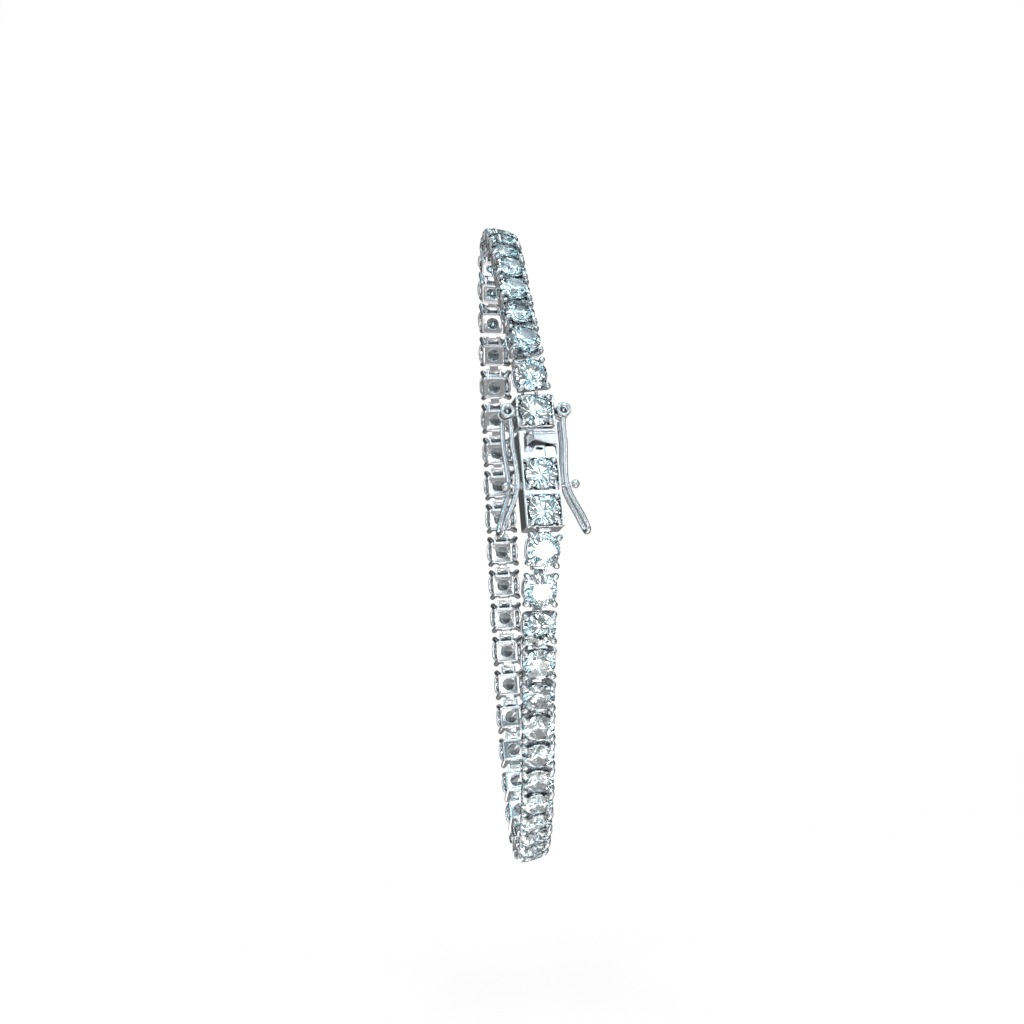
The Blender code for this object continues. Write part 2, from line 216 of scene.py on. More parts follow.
def prism(outline, z0, z1, top=None):
    count = len(outline)
    points = [(x, y, z0) for x, y in outline] + [(x, y, z1) for x, y in (top or outline)]
    sides = [(i, (i + 1) % count, count + (i + 1) % count, count + i) for i in range(count)]
    return mesh_object(points, [tuple(range(count)), tuple(range(count, 2 * count)), *sides])


def block(x, y, z):
    return prism([(x[0], y[0]), (x[1], y[0]), (x[1], y[1]), (x[0], y[1])], *z)


def ring_outline(r, sides, centre=(0.0, 0.0), phase=0.5):
    return [
        (
            centre[0] + r * math.cos(2 * math.pi * (i + phase) / sides),
            centre[1] + r * math.sin(2 * math.pi * (i + phase) / sides),
        )
        for i in range(sides)
    ]


def rounded(half_x, half_y, r, steps=5, centre=(0.0, 0.0)):
    outline = []
    for quarter, (sx, sy) in enumerate(((1, 1), (-1, 1), (-1, -1), (1, -1))):
        for k in range(steps + 1):
            a = math.pi / 2 * (quarter + k / steps)
            outline.append(
                (
                    centre[0] + sx * (half_x - r) + r * math.cos(a),
                    centre[1] + sy * (half_y - r) + r * math.sin(a),
                )
            )
    return outline


def turned(profile, sides, phase=0.5):
    points, rings = [], []
    for r, z in profile:
        if r == 0:
            rings.append([len(points)])
            points.append((0, 0, z))
        else:
            rings.append(list(range(len(points), len(points) + sides)))
            points += [(x, y, z) for x, y in ring_outline(r, sides, phase=phase)]
    faces = []
    for a, b in zip(rings, rings[1:]):
        for i in range(sides):
            j = (i + 1) % sides
            quad = [a[i % len(a)], a[j % len(a)], b[j % len(b)], b[i % len(b)]]
            faces.append(tuple(dict.fromkeys(quad)))
    for end in (rings[0], rings[-1]):
        if len(end) > 1:
            faces.append(tuple(end))
    return mesh_object(points, faces)


def ball(centre, radii, sides=20):
    profile = [(0, -1)] + [
        (math.sin(math.pi * k / 10), -math.cos(math.pi * k / 10)) for k in range(1, 10)
    ] + [(0, 1)]
    obj = turned(profile, sides)
    obj.data.transform(Matrix.Translation(centre) @ Matrix.Diagonal((*radii, 1)))
    return obj


def sweep(points, radii, sides=14, closed=False, flat=1.0):
    """A round wire along points, radii at each; flat squeezes it along z."""
    path = [Vector(p) for p in points]
    count = len(path)
    rings, normal = [], None
    for i, p in enumerate(path):
        before = path[i - 1] if (i > 0 or closed) else p
        after = path[(i + 1) % count] if (i < count - 1 or closed) else p
        tangent = (after - before).normalized()
        if normal is None:
            seed = Vector((0, 0, 1)) if abs(tangent.z) < 0.9 else Vector((1, 0, 0))
            normal = (seed - tangent * seed.dot(tangent)).normalized()
        else:
            normal = (normal - tangent * normal.dot(tangent)).normalized()
        side = tangent.cross(normal)
        r = radii[i] if hasattr(radii, "__len__") else radii
        ring = []
        for k in range(sides):
            a = 2 * math.pi * k / sides
            offset = normal * math.cos(a) * r + side * math.sin(a) * r
            offset.z *= flat
            ring.append(p + offset)
        rings.append(ring)
    verts = [v for ring in rings for v in ring]
    faces = []
    spans = count if closed else count - 1
    for i in range(spans):
        j = (i + 1) % count
        for k in range(sides):
            m = (k + 1) % sides
            faces.append((i * sides + k, i * sides + m, j * sides + m, j * sides + k))
    if not closed:
        faces.append(tuple(range(sides)))
        faces.append(tuple((count - 1) * sides + k for k in range(sides)))
    return mesh_object(verts, faces)


def smooth_path(rows, count):
    """Evenly spread points on a smooth curve through a few 3-D points."""
    at, end = spline([tuple(r) for r in rows])
    return [at(end * i / (count - 1)) for i in range(count)]


def moved(obj, offset=(0, 0, 0), turn=None):
    obj.data.transform(Matrix.Translation(offset) @ (turn.to_4x4() if turn else Matrix.Identity(4)))
    return obj


def evaluated_mesh(obj):
    bpy.context.view_layer.update()
    return bpy.data.meshes.new_from_object(
        obj.evaluated_get(bpy.context.evaluated_depsgraph_get())
    )


def cut(base, cutters, operation="DIFFERENCE"):
    for other in cutters:
        step = base.modifiers.new("cut", "BOOLEAN")
        step.operation, step.solver, step.object = operation, "EXACT", other
    mesh = evaluated_mesh(base)
    for obj in (base, *cutters):
        bpy.data.objects.remove(obj, do_unlink=True)
    obj = bpy.data.objects.new("shape", mesh)
    bpy.context.scene.collection.objects.link(obj)
    return obj


def cast(shapes, voxel, ratio, smooth=3):
    """Shapes run together as one cast and polished piece: joined, remeshed, softened and thinned."""
    bm = bmesh.new()
    for obj in shapes:
        bm.from_mesh(obj.data)
        bpy.data.objects.remove(obj, do_unlink=True)
    mesh = bpy.data.meshes.new("cast")
    bm.to_mesh(mesh)
    bm.free()
    obj = bpy.data.objects.new("cast", mesh)
    bpy.context.scene.collection.objects.link(obj)
    remesh = obj.modifiers.new("remesh", "REMESH")
    remesh.mode, remesh.voxel_size, remesh.use_smooth_shade = "VOXEL", voxel, True
    soften = obj.modifiers.new("soften", "SMOOTH")
    soften.factor, soften.iterations = 0.5, smooth
    thin = obj.modifiers.new("thin", "DECIMATE")
    thin.ratio = ratio
    result = evaluated_mesh(obj)
    bpy.data.objects.remove(obj, do_unlink=True)
    return result


def finish_mesh(mesh, name, material, smooth=True, sharp=None):
    mesh.transform(Matrix.Scale(MM, 4))
    mesh.name = name
    mesh.materials.clear()
    mesh.materials.append(material)
    if smooth:
        mesh.shade_smooth()
        if sharp is not None:
            mesh.set_sharp_from_angle(angle=math.radians(sharp))
    else:
        mesh.shade_flat()
    return mesh


# ---------------------------------------------------------------- the stone
def brilliant(name, material, diameter):
    """A round brilliant: table, stars, kites and upper halves over a pavilion of sixteen mains with their
    halves, the cut that small white stones get so that they glitter finely."""
    r, rt = diameter / 2, TABLE_SHARE * diameter / 2
    low, high = GIRDLE_Z
    crown = (TABLE_Z - high) / (r - rt)
    eighth, half, quarter = math.pi / 4, math.pi / 8, math.pi / 16

    def at(radius, angle, z):
        return (radius * math.cos(angle), radius * math.sin(angle), z)

    rm = rt * math.cos(half) + 0.52 * (r - rt * math.cos(half))
    zm = high + crown * (r - rm * math.cos(half))
    rn = 0.34 * r
    zn = CULET_Z + (low - CULET_Z) / r * rn * math.cos(quarter)
    points, index = [], {}

    def put(key, p):
        index[key] = len(points)
        points.append(p)

    for k in range(8):
        a = eighth * k
        put(("t", k), at(rt, a, TABLE_Z))
        put(("m", k), at(rm, a + half, zm))
        put(("g", 2 * k), at(r, a, high))
        put(("g", 2 * k + 1), at(r, a + half, high + 0.02))
    for k in range(16):
        a = half * k
        put(("n", k), at(rn, a + quarter, zn))
        put(("h", 2 * k), at(r, a, low))
        put(("h", 2 * k + 1), at(r, a + quarter, low - 0.01))
    put("c", (0, 0, CULET_Z))
    faces = [tuple(index["t", k] for k in range(8))]
    for k in range(8):
        j, b = (k + 1) % 8, (k - 1) % 8
        faces.append((index["t", k], index["m", k], index["t", j]))
        faces.append((index["t", k], index["m", b], index["g", 2 * k], index["m", k]))
        faces.append((index["m", k], index["g", 2 * k], index["g", 2 * k + 1]))
        faces.append((index["m", k], index["g", 2 * k + 1], index["g", 2 * j]))
    for k in range(16):
        j, b = (k + 1) % 16, (k - 1) % 16
        low_edge = (index["h", 2 * j], index["h", 2 * k + 1], index["h", 2 * k])
        faces.append((index["g", k], index["g", j], *low_edge))
        faces.append((index["h", 2 * k], index["n", k], index["h", 2 * k + 1]))
        faces.append((index["h", 2 * k + 1], index["n", k], index["h", 2 * j]))
        faces.append((index["c"], index["n", b], index["h", 2 * k], index["n", k]))
    obj = mesh_object(points, faces)
    mesh = obj.data
    bpy.data.objects.remove(obj, do_unlink=True)
    return finish_mesh(mesh, name, material, smooth=False)


def seat(diameter, centre=(0.0, 0.0)):
    """The cut that a stone's pavilion sits in, a little wider than the stone."""
    slope = (GIRDLE_Z[0] - CULET_Z) / (diameter / 2)
    inner = 0.72
    obj = turned(
        [
            (inner, -2.2),
            (inner, CULET_Z + slope * (inner - 0.03)),
            (diameter / 2 + 0.04, GIRDLE_Z[0] + 0.01),
            (diameter / 2 + 0.04, 2.6),
        ],
        48,
    )
    return moved(obj, (centre[0], centre[1], 0))


def claw(x, y, inwards, low, r, out=(1.60, 1.56), top=1.50):
    """A corner prong: up from low, out to the stone's edge and bent in over the girdle; x, y is the
    stone's middle and inwards the signs of the corner."""
    sx, sy = inwards
    foot = (1.00, 0.99) if low < 0 else out
    rows = [
        (x + sx * foot[0], y + sy * foot[1], low),
        (x + sx * (foot[0] * 0.5 + out[0] * 0.5), y + sy * (foot[1] * 0.5 + out[1] * 0.5), low * 0.45 + 0.30),
        (x + sx * (out[0] - 0.03), y + sy * (out[1] - 0.03), 0.88),
        (x + sx * out[0], y + sy * out[1], 1.16),
        (x + sx * (out[0] - 0.11), y + sy * (out[1] - 0.11), top - 0.10),
        (x + sx * (out[0] - 0.33), y + sy * (out[1] - 0.32), top),
    ]
    return sweep(smooth_path(rows, 14), [r * 0.94] * 6 + [r * 0.97, r, r * 1.03] + [r * 1.06, r * 1.08, r * 1.06, r * 0.98, r * 0.74], sides=16)


def almond(half_width, low, high, reach, widest=0.55):
    """An almond-shaped opening through both side walls: drawn in y and z and run along x."""
    outline = []
    steps = 8
    for side in (1, -1):
        for k in range(steps):
            t = k / steps if side > 0 else 1 - k / steps
            share = (t / widest) if t < widest else (1 - t) / (1 - widest)
            outline.append((side * half_width * math.sin(share * math.pi / 2) ** 0.8, low + (high - low) * t))
    obj = prism(outline, -reach, reach)
    return moved(obj, turn=Matrix(((0, 0, 1), (1, 0, 0), (0, 1, 0))))


def scoop(z, r, reach, along_x=True):
    """A round cut across the walls, which leaves the corners standing as prongs."""
    obj = prism(ring_outline(r, 32), -reach, reach)
    moved(obj, turn=Matrix.Rotation(math.pi / 2, 3, "Y" if along_x else "X"))
    return moved(obj, (0, 0, z))


# ---------------------------------------------------------------- metal pieces, millimetres
def link_setting():
    cup = prism(rounded(1.28, 1.26, 0.25), -0.90, 1.12, top=rounded(1.66, 1.62, 0.42))
    cup = cut(
        cup,
        [
            seat(STONE_D),
            almond(0.56, -0.56, 0.52, 3.0),
            scoop(1.72, 1.12, 3.0),
            scoop(1.76, 1.50, 3.0, along_x=False),
        ],
    )
    shapes = [cup]
    shapes += [claw(0, 0, (sx, sy), -0.74, 0.29, out=(1.58, 1.54)) for sx in (-1, 1) for sy in (-1, 1)]
    rail = [(x, y, -0.76) for x, y in rounded(1.16, 1.14, 0.30)]
    shapes.append(sweep(rail, 0.17, closed=True))
    # a rail bows out from claw to claw along each side, and shows as a bright bar beside the stone
    for sx in (-1, 1):
        rows = [(sx * x, y, z) for x, y, z in ((1.30, -1.24, 0.22), (1.68, -0.78, 0.16), (1.76, 0.0, 0.14), (1.68, 0.78, 0.16), (1.30, 1.24, 0.22))]
        shapes.append(sweep(smooth_path(rows, 20), 0.15))
    # the hinge: a tab with its bar at one end, two lugs that carry the neighbour's bar at the other
    shapes.append(prism(rounded(0.50, 0.555, 0.16, centre=(0, 1.74)), -0.80, -0.50))
    shapes.append(sweep([(-0.86, PITCH / 2, -0.65), (0.86, PITCH / 2, -0.65)], 0.17))
    for sx in (-1, 1):
        shapes.append(prism(rounded(0.12, 0.50, 0.10, centre=(sx * 0.76, -1.72)), -0.86, -0.44))
    return shapes


def grains(s, half_y, r=0.13):
    """Small grains between the claws, in the gap that the round stone leaves in its square cell."""
    middle = y_of(s)
    return [
        ball((sx * x, middle + sy * y, 1.06), (r, r, r), sides=12)
        for sx in (-1, 1)
        for sy in (-1, 1)
        for x, y in ((1.66, 1.00), (1.02, half_y - 0.08))
    ]


def tongue_end():
    s0, s1 = TONGUE_END_S
    middle = y_of((s0 + s1) / 2)
    body = prism(rounded(CLASP_HALF_X - 0.02, (s1 - s0) / 2 - 0.02, 0.30, centre=(0, middle)), -1.38, 1.14)
    stone = y_of(TONGUE_STONE_S)
    body = cut(
        body,
        [
            seat(CLASP_STONE_D, (0, stone)),
            prism(rounded(1.80, 1.60, 0.25, centre=(0, middle)), 0.60, 2.5),
            moved(almond(0.80, -0.75, 0.30, 3.0), (0, stone, 0)),
            moved(scoop(1.98, 1.10, 3.0), (0, stone, 0)),
        ],
    )
    shapes = [body]
    for sx in (-1, 1):
        for sy in (-1, 1):
            shapes.append(claw(0, stone, (sx, sy), 0.35, 0.27, out=(1.58, 1.44), top=1.48))
    shapes += grains(TONGUE_STONE_S, 1.58)
    shapes.append(block((-1.24, 1.24), (y_of(10.08), y_of(s1 - 0.5)), (-1.27, -1.09)))
    shapes.append(prism(rounded(0.64, 0.42, 0.15, centre=(0, y_of(0.05))), -0.80, -0.42))
    shapes.append(sweep([(-0.86, y_of(0.0), -0.62), (0.86, y_of(0.0), -0.62)], 0.19))
    for side in (-1, 1):
        lug = prism(
            rounded(0.72, 0.42, 0.40, steps=8, centre=(side * (HINGE_X - 0.28), y_of(HINGE_S))), -0.08, 0.78
        )
        arm = block(
            sorted((side * 1.9, side * 2.7)), (y_of(HINGE_S) - 0.42, y_of(HINGE_S) + 0.42), (-0.08, 0.78)
        )
        # the pin's end lies a little below the lever's eye, in its shade
        pin = turned(
            [(0, -0.72), (0.15, -0.70), (0.21, -0.62), (0.21, 0.98), (0.15, 1.06), (0, 1.08)], 20
        )
        shapes += [lug, arm, moved(pin, (side * HINGE_X, y_of(HINGE_S), 0))]
    return shapes


def clasp_box():
    s0, s1 = BOX_S
    middle, half = y_of((s0 + s1) / 2), (s1 - s0) / 2
    body = prism(
        rounded(CLASP_HALF_X - 0.02, half - 0.02, 0.22, centre=(0, middle)), BOX_LOW_Z + 0.02, 1.16
    )
    cutters = [
        block((-SLOT_HALF_X, SLOT_HALF_X), (y_of(SLOT_END_S), y_of(s0 - 0.5)), SLOT_Z),
        block(
            (-NOTCH_HALF_X, NOTCH_HALF_X), (y_of(NOTCH_END_S), y_of(s0 - 0.6)), (SLOT_Z[1] - 0.1, 2.5)
        ),
        # the right wall is filed down where the press reaches over it, and the bar behind it slopes
        block((1.30, 3.0), (y_of(5.75), y_of(s0 - 0.6)), (0.58, 2.5)),
        block((0.62, 1.84), (y_of(6.98), y_of(5.70)), (0.60, 2.5)),
        block((-0.75, 0.75), (y_of(s1 + 0.5), y_of(s1 - 0.45)), (-1.0, -0.3)),
    ]
    for s in BOX_STONES_S:
        cutters.append(seat(CLASP_STONE_D, (0, y_of(s))))
        cutters.append(prism(rounded(1.80, 1.70, 0.22, centre=(0, y_of(s))), 0.62, 2.5))
    body = cut(body, cutters)
    # the left wall's end is bent in towards the press
    shapes = [body, block((-1.86, -1.24), (y_of(4.46), y_of(4.07)), (0.70, 1.15))]
    for s in BOX_STONES_S:
        for sx in (-1, 1):
            for sy in (-1, 1):
                shapes.append(claw(0, y_of(s), (sx, sy), 0.35, 0.25, out=(1.56, 1.50), top=1.46))
        shapes += grains(s, 1.68)
    # the shelf at the far end of the notch, which the press's shoulder snaps under, with its eye
    shelf = prism(
        [(-0.95, y_of(6.55)), (-0.40, y_of(5.76)), (0.66, y_of(5.76)), (0.66, y_of(6.55))], 0.25, 1.12
    )
    eye = prism(ring_outline(0.20, 20), -0.5, 2.0)
    eye.data.transform(Matrix.Translation((0.06, y_of(6.10), 0)) @ Matrix.Diagonal((1.9, 0.75, 1, 1)))
    shapes.append(cut(shelf, [eye]))
    slope = prism(
        [(y_of(5.76), 0.30), (y_of(5.76), 0.74), (y_of(6.98), 1.14), (y_of(7.10), 1.14), (y_of(7.10), 0.30)],
        0.62,
        1.86,
    )
    shapes.append(moved(slope, turn=Matrix(((0, 0, 1), (1, 0, 0), (0, 1, 0)))))
    for side in (-1, 1):
        peg = sweep([(side * 1.95, y_of(PEG_S), PEG_Z), (side * (BALL_X - 0.1), y_of(PEG_S), PEG_Z)], PEG_R - 0.02)
        shapes.append(peg)
        shapes.append(
            sweep([(side * 2.05, y_of(PEG_S), PEG_Z), (side * 2.20, y_of(PEG_S), PEG_Z)], 0.40, sides=20)
        )
        shapes.append(ball((side * BALL_X, y_of(PEG_S), PEG_Z), (BALL_R, BALL_R, BALL_R)))
    # the lugs that the first link's bar turns in, and the plain tab above them
    for sx in (-1, 1):
        shapes.append(
            prism(rounded(0.12, 0.36, 0.10, centre=(sx * 0.76, y_of(s1 + 0.12))), -0.86, -0.44)
        )
    shapes.append(prism(rounded(0.66, 0.34, 0.15, centre=(0, y_of(s1 + 0.10))), 0.30, 0.66))
    return shapes


def thumb_press():
    """In its own frame: the origin is on the fold of the leaf."""
    fold = y_of(PRESS_AXIS_S)

    def at(s, z):
        return (y_of(s) - fold, z - PRESS_AXIS_Z)

    leaf = prism(
        [
            at(PRESS_AXIS_S, -0.97),
            at(4.22, -0.81),
            at(4.22, 0.40),
            at(4.42, 0.40),
            at(4.42, -0.63),
            at(PRESS_AXIS_S, -0.81),
        ],
        -1.12,
        1.12,
    )
    leaf.data.transform(Matrix(((0, 0, 1, 0), (1, 0, 0, 0), (0, 1, 0, 0), (0, 0, 0, 1))))
    roll = sweep([(-1.1, -0.02, 0.0), (1.1, -0.02, 0.0)], 0.10)
    # the pad: flat on the right, folded down on the left, its far edge cut aslant
    z = 1.20 - PRESS_AXIS_Z
    t = 0.26
    near, far_right, far_left = y_of(3.98) - fold, y_of(5.64) - fold, y_of(5.06) - fold
    top = [
        (1.98, near, z - 0.01), (0.95, near, z + 0.01), (-0.42, near, z - 0.01), (-1.14, near, z - 0.62),
        (1.98, far_right, z - 0.03), (0.95, far_right + 0.12, z - 0.01), (-0.42, far_left, z - 0.03),
        (-1.14, far_left - 0.50, z - 0.74),
    ]
    below = [(x, y, h - t) for x, y, h in top]
    faces = []
    for k in range(3):
        faces.append((k, k + 1, 4 + k + 1, 4 + k))
        faces.append((8 + k, 8 + 4 + k, 8 + 4 + k + 1, 8 + k + 1))
        faces.append((k, 8 + k, 8 + k + 1, k + 1))
        faces.append((4 + k, 4 + k + 1, 12 + k + 1, 12 + k))
    faces.append((0, 4, 12, 8))
    faces.append((3, 11, 15, 7))
    pad = mesh_object(top + below, faces)
    # two filed lines, for the thumb's grip
    lines = [
        block((-0.36, 1.92), (near - d - 0.05, near - d + 0.05), (z - 0.10, z + 0.3)) for d in (0.30, 0.52)
    ]
    pad = cut(pad, lines)
    neck = block((-0.9, 1.0), (y_of(4.44) - fold, y_of(4.20) - fold), (0.38 - PRESS_AXIS_Z, z - t + 0.05))
    return [leaf, roll, pad, neck]


def safety_lever(side):
    """In its own frame: the origin is on the hinge, at the height of the peg."""
    rise = (UPPER_WIRE_Z - LOWER_WIRE_Z) / 2
    eye_r = 0.60

    def wire(z, shift):
        rows = []
        for s, out in LEVER_PATH:
            share = min(1.0, (s - LEVER_PATH[0][0]) / 1.6, 0.30 + (LEVER_PATH[-1][0] - s) / 5.0)
            rows.append((side * (out + shift * share - HINGE_X), HINGE_S - s, z))
        first = rows[1]
        near = (rows[0][0] * 0.45 + first[0] * 0.55 + side * shift * 0.30, first[1] * 0.55, z)
        return [near] + rows[1:-2] + [(*rows[-2][:2], z * 0.95), (rows[-1][0] * 0.98, rows[-1][1] + 0.14, z * 0.66)]

    upper, lower = wire(rise, 0.0), wire(-rise, LOWER_WIRE_OUT[side])
    tip = (side * (LEVER_PATH[-1][1] - HINGE_X), HINGE_S - LEVER_PATH[-1][0], 0.0)
    path = smooth_path(upper + [tip] + lower[::-1], 130)
    count = len(path)
    radii = []
    for i in range(count):
        t = abs(2 * i / (count - 1) - 1)  # 1 at the eyes, 0 at the tip
        radii.append(0.280 + 0.015 * math.exp(-((t - 0.10) ** 2) / 0.02))
    shapes = [sweep(path, radii, sides=18)]
    for sign in (1, -1):
        eye = [
            (eye_r * math.cos(2 * math.pi * k / 40), eye_r * math.sin(2 * math.pi * k / 40), sign * rise)
            for k in range(40)
        ]
        shapes.append(sweep(eye, 0.215, sides=16, closed=True))
    return shapes


# ---------------------------------------------------------------- materials
def node_tools(name):
    material = bpy.data.materials.new(name)
    material.use_nodes = True
    tree = material.node_tree
    shader = tree.nodes["Principled BSDF"]

    def node(kind, **values):
        made = tree.nodes.new(kind)
        for key, value in values.items():
            if key in made.inputs:
                made.inputs[key].default_value = value
            else:
                setattr(made, key, value)
        return made

    def link(a, out, b, into):
        tree.links.new(a.outputs[out], b.inputs[into])

    # millimetres in the piece's own frame, and a patch of the noise of its own for each piece
    coordinates = node("ShaderNodeTexCoord")
    size = node("ShaderNodeMapping")
    size.inputs["Scale"].default_value = (1000.0, 1000.0, 1000.0)
    link(coordinates, "Object", size, "Vector")
    which = node("ShaderNodeObjectInfo")
    apart = node("ShaderNodeMath", operation="MULTIPLY")
    apart.inputs[1].default_value = 61.0
    link(which, "Random", apart, 0)
    scale = node("ShaderNodeVectorMath", operation="ADD")
    link(size, "Vector", scale, 0)
    link(apart, "Value", scale, 1)
    return material, shader, node, link, scale


def ramp(node, stops):
    made = node("ShaderNodeValToRGB")
    elements = made.color_ramp.elements
    while len(elements) < len(stops):
        elements.new(0.5)
    for element, (position, colour) in zip(elements, stops):
        element.position, element.color = position, (*colour, 1.0)
    return made


def white_metal(name, bright, dull, roughness, scratch_axis, scratch_depth):
    """Rhodium-plated silver: mirror polish with faint clouding, fine rubbing marks and painted shade darkening its
    crevices.
    """
    material, shader, node, link, scale = node_tools(name)
    shader.inputs["Metallic"].default_value = 1.0
    cloud = node("ShaderNodeTexNoise", Scale=1.3, Detail=4.0, Roughness=0.6)
    link(scale, "Vector", cloud, "Vector")
    tone = ramp(node, [(0.30, dull), (0.62, bright)])
    link(cloud, "Fac", tone, "Fac")
    # painted shade: the base colour goes near black where the surface is occluded, in crevices and between parts
    occlusion = node("ShaderNodeAmbientOcclusion", samples=6)
    occlusion.inputs["Distance"].default_value = 0.00045
    crevice_shade = ramp(node, [(0.25, (0.10, 0.10, 0.11)), (0.80, (1.0, 1.0, 1.0))])
    link(occlusion, "AO", crevice_shade, "Fac")
    both = node("ShaderNodeMix", data_type="RGBA", blend_type="MULTIPLY")
    both.inputs["Factor"].default_value = 1.0
    link(tone, "Color", both, "A")
    link(crevice_shade, "Color", both, "B")
    tree = material.node_tree
    tree.links.new(both.outputs[2], shader.inputs["Base Color"])
    # rubbing marks: noise drawn out along the piece
    stretch = node("ShaderNodeMapping")
    stretch.inputs["Scale"].default_value = tuple(1.2 if i == scratch_axis else 14.0 for i in range(3))
    link(scale, "Vector", stretch, "Vector")
    marks = node("ShaderNodeTexNoise", Scale=1.0, Detail=5.0, Roughness=0.7)
    link(stretch, "Vector", marks, "Vector")
    low, high = roughness
    spread = node("ShaderNodeMapRange")
    spread.inputs["From Min"].default_value = 0.35
    spread.inputs["From Max"].default_value = 0.75
    spread.inputs["To Min"].default_value = low
    spread.inputs["To Max"].default_value = high
    link(marks, "Fac", spread, "Value")
    link(spread, "Result", shader, "Roughness")
    dents = node("ShaderNodeTexNoise", Scale=2.2, Detail=3.0, Roughness=0.55)
    link(scale, "Vector", dents, "Vector")
    total = node("ShaderNodeMath", operation="ADD")
    weight = node("ShaderNodeMath", operation="MULTIPLY")
    weight.inputs[1].default_value = scratch_depth
    link(marks, "Fac", weight, 0)
    link(weight, "Value", total, 0)
    link(dents, "Fac", total, 1)
    bump = node("ShaderNodeBump")
    bump.inputs["Strength"].default_value = 0.35
    bump.inputs["Distance"].default_value = 0.00003
    link(total, "Value", bump, "Height")
    link(bump, "Normal", shader, "Normal")
    return material


def crystal(name):
    """Cubic zirconia: clear, strongly bending, with faint wisps and the least wear on its facets."""
    material, shader, node, link, scale = node_tools(name)
    shader.inputs["Transmission Weight"].default_value = 1.0
    shader.inputs["IOR"].default_value = 2.17
    wisps = node("ShaderNodeTexNoise", Scale=0.9, Detail=3.0, Roughness=0.5)
    link(scale, "Vector", wisps, "Vector")
    tint = ramp(node, [(0.35, (0.84, 0.95, 0.98)), (0.65, (0.95, 0.99, 1.0))])
    link(wisps, "Fac", tint, "Fac")
    link(tint, "Color", shader, "Base Color")
    wear = node("ShaderNodeTexNoise", Scale=3.5, Detail=4.0, Roughness=0.65)
    link(scale, "Vector", wear, "Vector")
    spread = node("ShaderNodeMapRange")
    spread.inputs["From Min"].default_value = 0.55
    spread.inputs["From Max"].default_value = 0.80
    spread.inputs["To Min"].default_value = 0.0
    spread.inputs["To Max"].default_value = 0.035
    link(wear, "Fac", spread, "Value")
    link(spread, "Result", shader, "Roughness")
    return material


def pale_floor(name):
    """White paper under and behind: matt and greyer towards the wall, lit through from behind, so that it
    comes out evenly white without lighting the metal flat."""
    material, shader, node, link, scale = node_tools(name)
    grain = node("ShaderNodeTexNoise", Scale=0.02, Detail=3.0)
    link(scale, "Vector", grain, "Vector")
    tone = ramp(node, [(0.3, (0.97, 0.97, 0.97)), (0.7, (1.0, 1.0, 1.0))])
    link(grain, "Fac", tone, "Fac")
    place = node("ShaderNodeTexCoord")
    split = node("ShaderNodeSeparateXYZ")
    link(place, "Object", split, "Vector")
    depth = node("ShaderNodeMapRange")
    depth.inputs["From Min"].default_value = 0.04
    depth.inputs["From Max"].default_value = 0.30
    link(split, "Y", depth, "Value")
    paper = ramp(node, [(0.0, (FLOOR_ALBEDO,) * 3), (1.0, (WALL_ALBEDO,) * 3)])
    link(depth, "Result", paper, "Fac")
    both = node("ShaderNodeMix", data_type="RGBA", blend_type="MULTIPLY")
    both.inputs["Factor"].default_value = 1.0
    link(tone, "Color", both, "A")
    link(paper, "Color", both, "B")
    material.node_tree.links.new(both.outputs[2], shader.inputs["Base Color"])
    shader.inputs["Roughness"].default_value = 0.8
    shader.inputs["Specular IOR Level"].default_value = 0.0
    shader.inputs["Emission Color"].default_value = (1.0, 1.0, 1.0, 1.0)
    through = node("ShaderNodeMapRange")
    through.inputs["To Min"].default_value = FLOOR_GLOW
    through.inputs["To Max"].default_value = WALL_GLOW
    link(depth, "Result", through, "Value")
    seen = node("ShaderNodeLightPath")
    glow = node("ShaderNodeMapRange")
    glow.inputs["To Min"].default_value = 0.03
    link(seen, "Is Camera Ray", glow, "Value")
    link(through, "Result", glow, "To Max")
    link(glow, "Result", shader, "Emission Strength")
    return material


FLOOR_Z = -0.052
FLOOR_ALBEDO, WALL_ALBEDO = 0.45, 0.08
FLOOR_GLOW, WALL_GLOW = 0.75, 0.97


# ---------------------------------------------------------------- the bracelet
polished = white_metal("polished_white_metal", (0.93, 0.935, 0.95), (0.84, 0.85, 0.88), (0.045, 0.16), 1, 0.5)
sprung = white_metal("sprung_white_metal", (0.91, 0.915, 0.93), (0.80, 0.81, 0.85), (0.06, 0.22), 1, 1.0)
stone_material = crystal("clear_stone")

hinges = fitted_chain()
stone_mesh = brilliant("brilliant", stone_material, STONE_D)
clasp_stone_mesh = brilliant("clasp_brilliant", stone_material, CLASP_STONE_D)
setting_mesh = finish_mesh(cast(link_setting(), 0.040, 0.16, smooth=2), "link_setting", polished)


def piece(name, mesh, matrix, body, slot, *nodes):
    obj = bpy.data.objects.new(name, mesh)
    bpy.context.scene.collection.objects.link(obj)
    obj.matrix_world = matrix
    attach(obj, body)
    if nodes:
        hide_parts(*nodes)
    return obj


worst = 0.0
for i in range(LINK_COUNT):
    where = frame_between(hinges[i], hinges[i + 1])
    node_name = f"link_{i + 1:02d}"
    low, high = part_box(node_name)
    centre = (Vector(low) + Vector(high)) / 2
    worst = max(worst, (centre - where.translation).length)
    piece(f"{node_name}_setting", setting_mesh, where, "bracelet", "polished_white_metal", node_name)
    # a setter turns each stone as it comes
    turn = Matrix.Rotation(math.radians((i * 47) % 45), 4, "Z")
    piece(f"{node_name}_stone", stone_mesh, where @ turn, "bracelet", "clear_stone")
print("links: farthest box centre from its frame, mm:", round(worst * 1000, 2))

